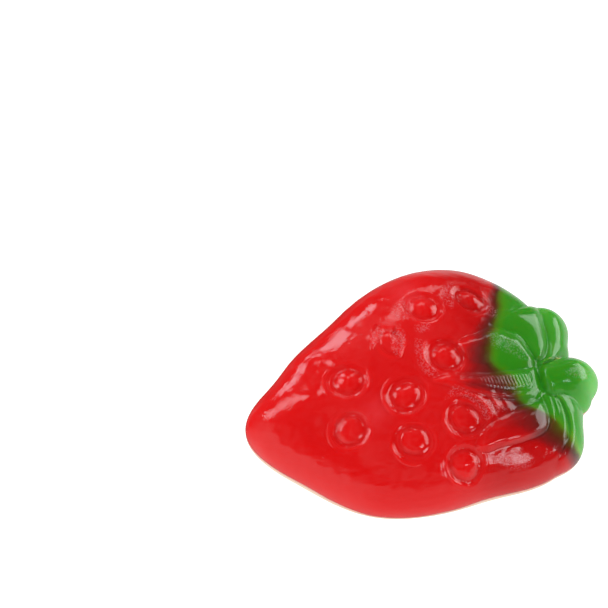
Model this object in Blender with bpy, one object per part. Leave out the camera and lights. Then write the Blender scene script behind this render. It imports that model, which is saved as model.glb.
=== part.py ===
"""A foam-backed gummy strawberry that lies on its back: red jelly, green crown end, cream foam layer.

Metres, +Z up. +X runs from the tip to the stem. The origin is at the middle of the footprint, on the surface the
piece rests on. The driving sizes are in millimetres.
"""

import math

import bmesh
import bpy
import numpy as np

MM = 0.001

# Plan outline of the body: radius at each angle around the middle of the dome, 180 being the tip
OUTLINE_ANGLES = (-180, -165, -150, -132, -112, -90, -68, -50, -35, -15, 15, 35, 50, 68, 88, 110, 130, 150, 166)
OUTLINE_RADII = (18.2, 17.4, 15.4, 14.3, 13.9, 13.7, 14.4, 16.4, 19.8, 21.7, 21.1, 20.3, 19.7, 18.1, 15.6, 13.5, 12.9,
                 13.9, 15.6)
# Round lobes at the crown end, as middle x, middle y and radius: the stem knob, the two end leaves, and the fuller
# lower side of the knob and of the back leaf
LOBES = ((21.81, 0.06, 2.25), (18.92, 7.05, 2.96), (16.91, -6.98, 3.69), (21.1, -1.95, 1.7), (19.45, 4.6, 1.8))
LOBE_BLEND = 0.45
MIDDLE_X = 2.86
MIDDLE_Y = 1.53

# Section of the dome above its widest level
RIM_HEIGHT = 3.2
DOME_HEIGHT = 10.9
PLAN_EXPONENT = 2.6
RISE_EXPONENT = 2.3
TIP_DROP = 1.2
CROWN_DROP = 1.6

# Convex underside, which is cut flat in its middle, where the piece rests
BELLY = 0.5
BACK_EXPONENT = 2.5

# Layers, and the gap between neighbours
FOAM_TOP = 3.0
GAP = 0.3

# Seeds: middle x, middle y, half length, half width and turn of each raised dome, in a shallow round groove
SEEDS = (
    (10.0, 10.2, 1.9, 1.45, 140),
    (5.5, 2.6, 1.8, 1.65, 0),
    (6.3, -5.2, 1.8, 1.65, 20),
    (5.5, -10.2, 1.65, 1.65, 0),
    (4.05, 9.4, 1.8, 1.55, 150),
    (-0.5, 5.2, 1.7, 1.65, 0),
    (0.1, -1.8, 1.8, 1.6, 30),
    (0.1, -7.1, 1.75, 1.6, 0),
    (-6.2, 1.05, 1.7, 1.65, 0),
    (-6.8, -4.75, 1.75, 1.65, 0),
)
SEED_RISE = 0.38
GROOVE_WIDTH = 0.72
GROOVE_DEPTH = 0.42

# Leaves of the calyx and the stem: height, then x, y and half width along each middle line
LEAVES = (
    (0.55, ((17.1, 1.8, 0.7), (16.3, 5.6, 2.1), (14.5, 9.4, 2.5), (12.4, 12.4, 1.2))),
    (0.75, ((15.7, 1.4, 0.6), (13.4, 3.1, 1.8), (10.6, 4.3, 1.6), (7.0, 5.2, 0.4))),
    (0.85, ((15.3, -0.8, 0.7), (11.7, -1.4, 2.0), (8.2, -1.1, 1.5), (4.6, -0.2, 0.4))),
    (0.70, ((16.2, -2.3, 0.6), (15.4, -5.0, 1.4), (12.4, -7.1, 1.2), (7.9, -8.5, 0.4))),
    (0.50, ((16.9, -2.5, 0.5), (17.4, -5.3, 1.0), (16.9, -8.2, 1.1), (15.8, -10.9, 0.6))),
    (0.75, ((18.0, -2.2, 0.6), (19.7, -5.2, 1.5), (19.6, -8.2, 1.6), (18.2, -10.6, 0.8))),
    (0.75, ((17.6, 1.9, 0.6), (19.0, 4.4, 1.8), (20.2, 7.4, 2.1), (20.8, 9.6, 1.4))),
    (1.25, ((16.4, -0.4, 1.2), (18.6, -0.6, 2.1), (21.2, -0.3, 2.6), (24.0, 0.1, 2.4))),
)
CREASE_DEPTH = 0.9
CREASE_RADIUS = 1.5
CREASE_AT = (16.1, 0.3)

# Border between green and red: nearest x, y there, and how fast it bends away on the two sides
BORDER_X = 10.1
BORDER_Y = 1.5
BEND_FAR = 0.03
BEND_NEAR = 0.07

# Share of the finely divided form's faces that each piece keeps
FACE_SHARE = 0.12


def knot_slopes(angles, radii):
    """Second derivatives of the periodic cubic through the knots."""
    count = len(angles)
    step = np.diff(np.append(angles, angles[0] + 360.0))
    rise = np.diff(np.append(radii, radii[0])) / step
    matrix = np.zeros((count, count))
    right = np.zeros(count)
    for i in range(count):
        before = (i - 1) % count
        matrix[i, before] += step[before]
        matrix[i, i] += 2 * (step[before] + step[i])
        matrix[i, (i + 1) % count] += step[i]
        right[i] = 6 * (rise[i] - rise[before])
    return np.linalg.solve(matrix, right)


KNOTS = np.array(OUTLINE_ANGLES, float)
RADII = np.array(OUTLINE_RADII, float)
SLOPES = knot_slopes(KNOTS, RADII)


def body_radius(theta):
    """Radius of the plain body outline."""
    angle = (np.degrees(theta) - KNOTS[0]) % 360 + KNOTS[0]
    ends = np.append(KNOTS, KNOTS[0] + 360)
    i = np.clip(np.searchsorted(ends, angle, side="right") - 1, 0, len(KNOTS) - 1)
    j = (i + 1) % len(KNOTS)
    step = ends[i + 1] - ends[i]
    a = (ends[i + 1] - angle) / step
    b = 1 - a
    bend = ((a ** 3 - a) * SLOPES[i] + (b ** 3 - b) * SLOPES[j]) * step ** 2 / 6
    return a * RADII[i] + b * RADII[j] + bend


def full_radius(theta):
    """Radius of the outline with the stem knob and the end leaves."""
    radius = body_radius(theta)
    for x, y, size in LOBES:
        along = x * np.cos(theta) + y * np.sin(theta)
        inside = size * size - x * x - y * y + along ** 2
        reach = np.where(inside > 0, along + np.sqrt(np.maximum(inside, 0)), 0)
        steep = np.clip((reach - radius) / LOBE_BLEND, -30, 30)
        radius = np.where(steep < 29, radius + LOBE_BLEND * np.log1p(np.exp(steep)), reach)
    return radius


def dome(phi, theta):
    """Plain dome: phi runs from 0 at the top to pi / 2 at the widest level."""
    share = np.sin(phi) ** (2 / PLAN_EXPONENT)
    plain = body_radius(theta)
    radius = plain * share + (full_radius(theta) - plain) * share ** 6
    x = radius * np.cos(theta)
    y = radius * np.sin(theta)
    top = DOME_HEIGHT - TIP_DROP * np.clip(-x / 18, 0, 1.2) ** 2 - CROWN_DROP * np.clip(x / 20, 0, 1.3) ** 2
    z = RIM_HEIGHT + (top - RIM_HEIGHT) * np.maximum(np.cos(phi), 0) ** (2 / RISE_EXPONENT)
    return np.stack([x, y, z], -1)


def back(turn, theta):
    """Underside before it is cut flat: turn runs from 0 at the widest level to 1 at the middle."""
    radius = full_radius(theta) * np.maximum(np.cos(turn * math.pi / 2), 0) ** (2 / BACK_EXPONENT)
    z = RIM_HEIGHT - (RIM_HEIGHT + BELLY) * np.sin(turn * math.pi / 2) ** (2 / BACK_EXPONENT)
    return np.stack([radius * np.cos(theta), radius * np.sin(theta), z], -1)


def seed_relief(x, y):
    """A raised dome in a groove, for each seed."""
    relief = np.zeros_like(x)
    for sx, sy, long, wide, turn in SEEDS:
        c, s = math.cos(math.radians(turn)), math.sin(math.radians(turn))
        u = ((x - sx) * c + (y - sy) * s) / long
        v = ((y - sy) * c - (x - sx) * s) / wide
        far = np.hypot(u, v)
        raised = (SEED_RISE + GROOVE_DEPTH) * np.maximum(1 - far ** 2, 0) ** 0.75 - GROOVE_DEPTH
        out = np.clip((far - 1) * (long + wide) / 2 / GROOVE_WIDTH, 0, 1)
        slope = -GROOVE_DEPTH * (0.5 + 0.5 * np.cos(out * math.pi))
        relief += np.where(far < 1, raised, slope)
    return relief


def middle_line(points, steps=14):
    """Points of a smooth line through the given ones, with their half widths."""
    points = np.array(points)
    padded = np.vstack([2 * points[0] - points[1], points, 2 * points[-1] - points[-2]])
    line = []
    for i in range(1, len(padded) - 2):
        p0, p1, p2, p3 = padded[i - 1:i + 3]
        for t in np.linspace(0, 1, steps, endpoint=False):
            line.append(0.5 * (2 * p1 + (p2 - p0) * t + (2 * p0 - 5 * p1 + 4 * p2 - p3) * t ** 2
                               + (3 * p1 - p0 - 3 * p2 + p3) * t ** 3))
    return np.array(line + [points[-1]])


LEAF_LINES = [(height, middle_line(points)) for height, points in LEAVES]


def even_rise(size=17.0, rise=7.7, count=400):
    """Angles on the dome's section at equal steps along it."""
    phi = np.linspace(0, math.pi / 2, count)
    along = size * np.sin(phi) ** (2 / PLAN_EXPONENT)
    up = rise * np.maximum(np.cos(phi), 0) ** (2 / RISE_EXPONENT)
    length = np.append(0, np.cumsum(np.hypot(np.diff(along), np.diff(up))))
    return length / length[-1] * math.pi / 2, phi


EVEN, EVEN_PHI = even_rise()


def leaf_relief(x, y):
    """Rounded leaves and stem that meet in creases."""
    relief = np.zeros_like(x)
    for height, line in LEAF_LINES:
        widest = line[:, 2].max()
        for px, py, half in line:
            share = np.hypot(x - px, y - py) / half
            relief = np.maximum(relief, height * (half / widest) ** 0.8 * (1 - share ** 2))
    near = np.hypot(x - CREASE_AT[0], y - CREASE_AT[1]) / CREASE_RADIUS
    return relief - CREASE_DEPTH * np.exp(-near ** 2)


def surface(phi, theta):
    """The dome with its relief, which fades out at the widest level."""
    step = 1e-3
    phi = np.clip(phi, 1e-4, math.pi / 2)
    place = dome(phi, theta)
    inward = dome(np.maximum(phi - step, 5e-5), theta) - place
    around = dome(phi, theta + step) - dome(phi, theta - step)
    normal = np.cross(around, inward)
    normal /= np.maximum(np.linalg.norm(normal, axis=-1, keepdims=True), 1e-12)
    normal = np.where(normal[..., 2:] < 0, -normal, normal)
    relief = (seed_relief(place[..., 0], place[..., 1]) + leaf_relief(place[..., 0], place[..., 1]))
    fade = 1 - np.sin(phi) ** 24
    return place + normal * (relief * fade)[..., None]


def polar(points):
    """Angles of points on the unit sphere, from its top and around it."""
    points = np.array(points)
    points = points / np.linalg.norm(points, axis=1, keepdims=True)
    phi = np.arccos(np.clip(points[:, 2], -1, 1))
    phi = np.where(phi < math.pi / 2, np.interp(phi, EVEN, EVEN_PHI), phi)
    return phi, np.arctan2(points[:, 1], points[:, 0])


def plain(points, upper=dome):
    """Places on the strawberry of points on the unit sphere, with the given upper surface."""
    phi, theta = polar(points)
    above = upper(np.clip(phi, 1e-4, math.pi / 2), theta)
    below = back(np.clip(phi / (math.pi / 2) - 1, 0, 1), theta)
    return np.where((phi <= math.pi / 2)[:, None], above, below)


def moved(points):
    """The same in metres, with the relief, around the middle of the footprint."""
    return (plain(points, surface) - np.array([MIDDLE_X, MIDDLE_Y, 0])) * MM


def make_form():
    """The whole moulded shape, before it is divided into its layers."""
    bm = bmesh.new()
    bmesh.ops.create_icosphere(bm, subdivisions=7, radius=1)
    places = moved([v.co[:] for v in bm.verts])
    for v, place in zip(bm.verts, places):
        v.co = place
    bmesh.ops.recalc_face_normals(bm, faces=bm.faces[:])
    mesh = bpy.data.meshes.new("strawberry_form")
    bm.to_mesh(mesh)
    bm.free()
    mesh.shade_smooth()
    mesh.set_sharp_from_angle(angle=math.radians(50))
    return mesh


def make_block(name, low, high, collection, shape=None, cuts=0):
    """A box between two corners in millimetres. A function can move its corners after it is divided along Y."""
    bm = bmesh.new()
    bmesh.ops.create_cube(bm, size=1)
    if cuts:
        along = [e for e in bm.edges if abs(e.verts[0].co.y - e.verts[1].co.y) > 0.5]
        bmesh.ops.subdivide_edges(bm, edges=along, cuts=cuts)
    for v in bm.verts:
        place = [low[i] + (v.co[i] + 0.5) * (high[i] - low[i]) for i in range(3)]
        if shape and v.co.x < 0:
            place[0] = shape(place[1])
        v.co = [(place[0] - MIDDLE_X) * MM, (place[1] - MIDDLE_Y) * MM, place[2] * MM]
    bmesh.ops.recalc_face_normals(bm, faces=bm.faces[:])
    mesh = bpy.data.meshes.new(name)
    bm.to_mesh(mesh)
    bm.free()
    block = bpy.data.objects.new(name, mesh)
    block.hide_render = True
    block.display_type = "WIRE"
    collection.objects.link(block)
    return block


def border(offset):
    """X of the border between green and red, moved by an offset."""
    def place(y):
        bend = BEND_FAR if y > BORDER_Y else BEND_NEAR
        return BORDER_X + bend * (y - BORDER_Y) ** 2 + offset
    return place


def make_material(name, color, roughness):
    material = bpy.data.materials.new(name)
    material.use_nodes = True
    shader = material.node_tree.nodes["Principled BSDF"]
    shader.inputs["Base Color"].default_value = (*color, 1)
    shader.inputs["Roughness"].default_value = roughness
    shader.inputs["Metallic"].default_value = 0
    material.diffuse_color = (*color, 1)
    return material


def make_part(name, form, material, collection, cuts):
    mesh = form.copy()
    mesh.name = name
    mesh.materials.append(material)
    part = bpy.data.objects.new(name, mesh)
    collection.objects.link(part)
    thin = part.modifiers.new("Fewer faces", "DECIMATE")
    thin.decimate_type = "COLLAPSE"
    thin.ratio = FACE_SHARE
    for label, operation, cutter in cuts:
        cut = part.modifiers.new(label, "BOOLEAN")
        cut.operation = operation
        cut.solver = "EXACT"
        cut.object = cutter
    return part


def main():
    for old in list(bpy.data.objects):
        bpy.data.objects.remove(old, do_unlink=True)
    scene = bpy.context.scene
    parts = bpy.data.collections.new("gummy_strawberry")
    cutters = bpy.data.collections.new("cutters")
    scene.collection.children.link(parts)
    scene.collection.children.link(cutters)

    red = make_material("red_jelly", (0.69, 0.013, 0.016), 0.22)
    green = make_material("green_jelly", (0.047, 0.254, 0.012), 0.22)
    cream = make_material("cream_foam", (0.78, 0.66, 0.48), 0.55)

    lower = make_block("below_jelly", (-40, -40, -10), (50, 40, FOAM_TOP + GAP), cutters)
    foam = make_block("foam_depth", (-40, -40, 0), (50, 40, FOAM_TOP), cutters)
    crown_off = make_block("crown_from_red", (0, -16, -10), (60, 22, 30), cutters, border(-GAP / 2), 48)
    crown_kept = make_block("crown_depth", (0, -16, -10), (60, 22, 30), cutters, border(GAP / 2), 48)

    form = make_form()
    make_part("red_jelly", form, red, parts,
              (("Foam side", "DIFFERENCE", lower), ("Crown side", "DIFFERENCE", crown_off)))
    make_part("green_cap", form, green, parts,
              (("Foam side", "DIFFERENCE", lower), ("Crown", "INTERSECT", crown_kept)))
    make_part("foam_back", form, cream, parts, (("Depth", "INTERSECT", foam),))
    bpy.data.meshes.remove(form)


main()
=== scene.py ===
"""Looks of the foam-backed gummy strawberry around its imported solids.

The jelly and the foam are finely divided meshes from the same named sizes as the solids. The sizes are in
millimetres, around the middle of the dome, and are moved to the frame of the solids at the end.
"""

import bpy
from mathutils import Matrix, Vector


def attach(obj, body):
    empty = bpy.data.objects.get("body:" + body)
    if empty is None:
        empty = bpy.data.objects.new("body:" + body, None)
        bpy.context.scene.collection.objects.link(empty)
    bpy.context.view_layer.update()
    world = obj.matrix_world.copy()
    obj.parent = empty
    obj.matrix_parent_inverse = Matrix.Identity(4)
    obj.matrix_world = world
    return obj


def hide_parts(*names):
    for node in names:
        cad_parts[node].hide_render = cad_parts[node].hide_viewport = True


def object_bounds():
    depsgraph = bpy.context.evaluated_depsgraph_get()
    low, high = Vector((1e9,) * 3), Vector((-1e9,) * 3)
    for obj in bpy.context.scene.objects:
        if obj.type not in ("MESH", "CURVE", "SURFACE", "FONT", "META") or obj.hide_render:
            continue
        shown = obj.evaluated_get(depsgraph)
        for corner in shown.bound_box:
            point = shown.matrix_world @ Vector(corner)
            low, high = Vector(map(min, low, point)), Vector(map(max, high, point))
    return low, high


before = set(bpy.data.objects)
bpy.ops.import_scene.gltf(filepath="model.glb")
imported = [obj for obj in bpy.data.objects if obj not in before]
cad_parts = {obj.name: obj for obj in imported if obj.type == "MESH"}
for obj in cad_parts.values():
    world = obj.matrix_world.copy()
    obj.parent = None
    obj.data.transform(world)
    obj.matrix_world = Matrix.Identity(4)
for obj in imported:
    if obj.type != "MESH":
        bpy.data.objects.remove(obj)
CAD_BOX = [list(corner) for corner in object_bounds()]

import math

import bmesh
import bpy
import numpy as np
from mathutils import Matrix, Vector

MM = 0.001
QUARTER = math.pi / 2
# Keeps a divisor above 0, and a distance in mm beyond every other
TINY = 1e-12
FAR = 99.0

# Plan outline of the body: radius at each angle in degrees around the middle of the dome, -180 being the tip
OUTLINE_ANGLES = (-180, -165, -150, -132, -112, -90, -68, -50, -35, -15, 15, 35, 50, 68, 88, 110, 130, 150,
                  166)
OUTLINE_RADII = (18.2, 17.4, 15.4, 14.3, 13.9, 13.7, 14.4, 16.4, 19.8, 21.7, 21.1, 20.3, 19.7, 18.1, 15.6,
                 13.5, 12.9, 13.9, 15.6)
# Round lobes at the crown end, as middle x, middle y and radius: the stem knob, the two end leaves, and the
# fuller lower side of the knob and of the back leaf
LOBES = ((21.81, 0.06, 2.25), (18.92, 7.05, 2.96), (16.91, -6.98, 3.69), (21.1, -1.95, 1.7),
         (19.45, 4.6, 1.8))
# How softly they join the body, how close to the widest level they stay, and where the join is as good as over
LOBE_BLEND = 0.45
LOBE_EXPONENT = 6
STEEPEST = 30.0
# Origin of the frame of the solids, from the middle of the dome
MIDDLE = np.array([2.86, 1.53, 0.0])

# Section of the form: heights of its widest level and its top, exponents of its curves, how far the underside
# would reach below the floor if it weren't flat there, and the smallest angle from the top
RIM_HEIGHT = 3.2
DOME_HEIGHT = 10.9
PLAN_EXPONENT = 2.6
RISE_EXPONENT = 2.3
BELLY = 0.5
BACK_EXPONENT = 2.5
TOP_ANGLE = 1e-4

# Drop of the top towards the tip and towards the crown, the distance at which it is reached, and how many such
# distances it goes on for
TIP_DROP = 1.2
TIP_REACH = 18.0
TIP_END = 1.2
CROWN_DROP = 1.6
CROWN_REACH = 20.0
CROWN_END = 1.3

# Level of the border between jelly and foam at each angle around the middle, its waves as height, number of
# them around the piece and start, its middle level, and the fine seam there
BORDER_TURNS = (0, 60, 120, 165, 185, 200, 215, 230, 245, 262, 285, 300, 320, 340, 360)
BORDER_LEVELS = (3.1, 3.05, 3.2, 3.15, 3.2, 3.5, 3.65, 3.5, 3.0, 2.85, 3.2, 3.5, 3.45, 3.15, 3.1)
LEVEL_WAVES = ((0.05, 7, 2.1), (0.03, 17, 0.0))
BORDER_LEVEL = 3.15
SEAM_DEPTH = 0.06
SEAM_WIDTH = 0.14
SEAM_GAP = 0.01

# Unevenness of the jelly's surface, of the foam, of the green border and of the deeper red, as height, size of
# the bumps in mm and seed of their pattern
SURFACE_WAVES = ((0.045, 5.0, 3),)
FINE_WAVES = ((0.014, 1.3, 5), (0.003, 0.5, 6))
FOAM_WAVES = ((0.03, 6.0, 21),)
CROWN_WAVES = ((0.18, 3.5, 11), (0.04, 1.2, 12))
DEEP_WAVES = ((0.5, 5.0, 31),)
# The fine bumps lose most of their height between two x, the foam's come in between two heights, and the higher
# the exponent, the nearer to the widest level the relief goes
FINE_END = (13.0, 15.5)
FINE_LOSS = 0.8
FOAM_BELOW = (2.6, 1.5)
RELIEF_EXPONENT = 24

# Seeds: middle x, middle y, half length, half width and turn of each raised dome, its rise, then depth and
# width of the wall of its groove
SEEDS = (
    (10.0, 10.2, 1.75, 1.25, 140, 0.26, 0.28, 0.85),
    (5.5, 2.6, 1.8, 1.55, 150, 0.22, 0.28, 0.8),
    (6.3, -5.2, 1.85, 1.7, 130, 0.24, 0.24, 0.6),
    (5.5, -10.2, 1.65, 1.6, 0, 0.3, 0.26, 0.6),
    (4.05, 9.4, 1.8, 1.6, 160, 0.22, 0.24, 0.8),
    (-0.6, 5.2, 1.7, 1.3, 100, 0.14, 0.06, 1.1),
    (0.1, -1.8, 1.75, 1.6, 30, 0.24, 0.26, 0.95),
    (0.1, -7.1, 1.75, 1.6, 0, 0.26, 0.24, 0.8),
    (-6.2, 1.05, 1.75, 1.6, 0, 0.24, 0.24, 0.75),
    (-6.8, -4.75, 1.75, 1.65, 0, 0.28, 0.24, 0.55),
)
# How uneven their outlines are, the exponent of their domes, the ledge on each, the share of a groove's wall that
# is still floor, and how uneven the wall is
SEED_UNEVEN = 0.035
SEED_EXPONENT = 0.95
LEDGE_AT = 0.86
LEDGE_DEPTH = 0.035
LEDGE_WIDTH = 0.12
GROOVE_FLOOR = 0.12
GROOVE_UNEVEN = 0.18

# Stepped arcs around the seeds: middle x and y, radius, height, width over which each falls outward, or inward
# if it is below 0, and the angles between which it runs
ARCS = (
    (6.3, -5.2, 1.85, 0.12, 0.5, -40, 110),
    (6.3, -5.2, 2.75, 0.3, 1.1, -20, 105),
    (6.3, -5.2, 3.95, 0.25, 0.95, -5, 55),
    (6.3, -5.2, 3.95, 0.1, 0.45, 35, 95),
    (6.3, -5.2, 5.1, 0.12, 0.6, -5, 38),
    (6.3, -5.2, 2.6, 0.12, -0.45, 150, 250),
    (5.5, 2.6, 2.85, 0.16, -0.7, 125, 240),
    (5.5, 2.6, 3.2, 0.09, -0.3, 150, 245),
    (5.5, 2.6, 3.55, 0.08, -0.28, 165, 240),
    (5.5, 2.6, 3.9, 0.07, -0.26, 170, 235),
    (5.5, 2.6, 2.3, 0.08, 0.3, -10, 60),
    (0.1, -1.8, 2.8, 0.18, -0.8, 120, 240),
    (0.1, -1.8, 2.3, 0.07, 0.28, -50, 0),
    (-6.2, 1.05, 2.9, 0.14, -0.45, 130, 220),
    (-6.2, 1.05, 2.05, 0.07, -0.25, 125, 205),
    (-6.2, 1.05, 2.45, 0.12, 0.35, -70, 35),
    (-6.2, 1.05, 1.95, 0.07, 0.25, -65, 20),
    (-6.8, -4.75, 2.6, 0.16, -0.45, 140, 220),
    (-6.8, -4.75, 2.4, 0.05, 0.22, -55, -15),
    (0.1, -7.1, 2.7, 0.15, -0.4, 170, 285),
    (5.5, -10.2, 2.15, 0.12, -0.35, 150, 240),
    (4.05, 9.4, 1.8, 0.09, 0.35, -45, 55),
    (4.05, 9.4, 1.85, 0.07, 0.25, -115, -45),
    (10.0, 10.2, 1.75, 0.09, -0.3, 175, 265),
)
# Width of their steep side, and the degrees over which they come in and go out
ARC_STEP = 0.13
ARC_FADE = 25

# Slanted facets: slope in x and in y, downhill being positive, then corners as x, y and the width over which
# they blend
FACETS = (
    (0.1, 0.1, ((-1.9, 8.1, 0.3), (-1.2, 7.4, 0.3), (-1.1, 6.5, 0.3), (-1.9, 5.5, 0.3), (-2.9, 4.4, 0.3),
                (-2.9, 5.8, 0.3), (-2.5, 7.1, 0.3))),
    (-0.02, 0.17, ((0.3, 7.1, 0.3), (0.8, 6.4, 0.3), (1.25, 5.3, 0.3), (1.2, 4.5, 0.3), (0.65, 3.6, 0.3),
                   (0.2, 2.9, 0.3), (-0.05, 3.6, 0.3), (-0.7, 4.0, 0.3), (-0.5, 4.6, 0.3), (-0.65, 5.3, 0.3),
                   (-0.35, 6.6, 0.3))),
)

# Leaves of the calyx and the stem: height near the middle of the crown, height at the outer end, then corners
# as x, y and the width over which the edge rounds there
LEAVES = {
    "back leaf": (0.75, 0.7, (
        (16.3, 1.8, 1.0), (16.0, 2.3, 1.4), (15.7, 3.2, 2.0), (15.3, 4.3, 2.8), (14.7, 5.0, 3.2),
        (13.6, 5.6, 3.6), (12.5, 6.2, 4.0), (11.6, 7.2, 4.5), (11.2, 9.3, 5.0), (11.8, 11.8, 5.0),
        (13.0, 13.8, 5.0), (15.0, 13.8, 4.0), (17.0, 12.2, 2.5), (18.0, 10.2, 1.8), (18.3, 8.6, 1.5),
        (18.3, 6.3, 1.4), (18.3, 5.1, 1.3), (18.2, 3.9, 1.2), (17.7, 2.8, 1.0), (16.9, 1.9, 0.8))),
    "back end leaf": (0.3, 1.05, (
        (16.8, 1.2, 0.6), (17.8, 2.4, 0.8), (18.4, 3.9, 1.2), (18.6, 5.1, 1.6), (18.5, 6.3, 2.0),
        (18.4, 7.5, 2.4), (18.3, 8.8, 2.8), (18.6, 10.6, 3.2), (20.0, 11.5, 3.6), (22.2, 10.5, 3.6),
        (23.2, 8.0, 3.4), (22.8, 5.0, 2.6), (21.4, 3.3, 1.6), (20.3, 2.9, 1.1), (18.4, 1.8, 0.6))),
    "upper leaf": (0.75, 0.75, (
        (16.0, 1.4, 1.6), (15.9, 2.0, 1.6), (15.5, 3.2, 1.6), (15.1, 4.2, 1.7), (14.5, 4.9, 1.8),
        (13.4, 5.4, 1.8), (12.3, 5.9, 1.8), (11.0, 5.7, 1.8), (9.6, 5.0, 1.8), (8.0, 4.6, 2.2),
        (7.2, 3.6, 2.4), (8.0, 2.2, 3.2), (9.6, 1.4, 3.8), (10.9, 0.7, 4.2), (12.5, 0.5, 4.2),
        (14.2, 0.6, 3.2), (15.3, 0.9, 2.2))),
    "middle leaf": (0.3, 0.3, (
        (15.7, 0.5, 0.8), (14.1, 0.2, 0.5), (12.3, 0.0, 0.6), (10.7, -0.1, 0.7), (8.7, 0.0, 0.9),
        (6.7, 0.0, 1.0), (4.7, 0.1, 1.0), (3.4, -0.4, 1.0), (4.7, -1.0, 0.7), (6.5, -1.7, 0.6),
        (8.3, -2.4, 0.6), (10.3, -2.9, 0.6), (11.8, -3.1, 0.6), (14.0, -2.8, 0.5), (15.6, -2.1, 0.8),
        (15.8, -0.8, 0.8))),
    "lower leaf": (0.6, 0.6, (
        (16.0, -3.9, 1.8), (16.25, -4.8, 2.2), (16.1, -5.9, 1.8), (15.6, -6.7, 1.0), (14.9, -7.2, 0.6),
        (13.4, -7.8, 0.6), (11.3, -8.3, 0.6), (9.7, -8.6, 0.6), (8.3, -9.0, 0.7), (7.2, -8.7, 1.2),
        (7.5, -7.6, 1.6), (8.6, -6.6, 1.8), (9.8, -5.9, 1.9), (11.7, -5.1, 1.9), (13.0, -4.6, 1.8),
        (14.6, -4.1, 1.4), (15.4, -3.7, 1.0))),
    "front leaf": (0.15, 1.25, (
        (16.3, -2.9, 0.5), (17.3, -2.9, 0.5), (18.0, -3.6, 0.4), (18.35, -5.0, 0.5), (18.35, -6.4, 0.6),
        (18.05, -7.9, 0.9), (17.5, -9.3, 2.2), (16.4, -10.0, 3.0), (15.3, -9.2, 3.0), (15.2, -7.6, 1.8),
        (15.9, -6.5, 0.8), (16.4, -5.1, 0.6), (16.4, -3.9, 0.5))),
    "front end leaf": (0.6, 0.85, (
        (18.6, -2.7, 0.7), (19.6, -2.9, 0.9), (20.4, -3.5, 1.2), (21.4, -5.0, 1.7), (21.9, -6.7, 2.0),
        (21.6, -8.6, 2.2), (20.6, -10.4, 2.4), (19.2, -11.6, 2.6), (17.4, -12.0, 2.6), (16.7, -11.0, 2.0),
        (17.1, -9.7, 1.2), (17.8, -8.8, 0.9), (18.4, -7.8, 0.8), (18.7, -6.4, 0.8), (18.65, -5.0, 0.8),
        (18.2, -3.7, 0.7), (17.8, -2.9, 0.6))),
    "stem": (0.85, 2.05, (
        (16.9, 0.9, 1.2), (17.5, 1.2, 1.7), (18.4, 1.7, 2.2), (20.0, 2.5, 2.6), (21.5, 2.8, 2.8),
        (23.4, 2.8, 3.2), (25.6, 1.4, 3.6), (26.2, -0.3, 3.6), (25.4, -2.4, 3.6), (23.2, -3.2, 3.2),
        (21.0, -3.2, 2.9), (19.5, -3.0, 2.6), (18.7, -2.8, 2.4), (17.7, -2.8, 2.1), (17.0, -2.5, 1.6),
        (16.5, -1.6, 1.0), (16.35, -0.8, 0.9), (16.45, 0.3, 0.9))),
}
# How far their edges are moved out, and the two x between which they go from the first height to the second
LEAF_GROWTH = 0.2
OUTER_END = (16.0, 21.0)
# Raised inner part of the middle leaf: height, then corners
INNER_LEAF = (0.34, ((15.1, 0.0, 0.8), (14.0, -0.05, 0.7), (12.3, -0.2, 0.6), (10.7, -0.3, 0.6),
                     (9.1, -0.4, 0.6), (7.5, -0.5, 0.6), (6.3, -0.8, 0.6), (7.5, -1.3, 0.6), (8.9, -1.7, 0.6),
                     (10.4, -2.05, 0.6), (11.9, -2.3, 0.6), (13.5, -2.3, 0.6), (14.7, -2.0, 0.7),
                     (15.2, -1.0, 0.8)))

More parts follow.
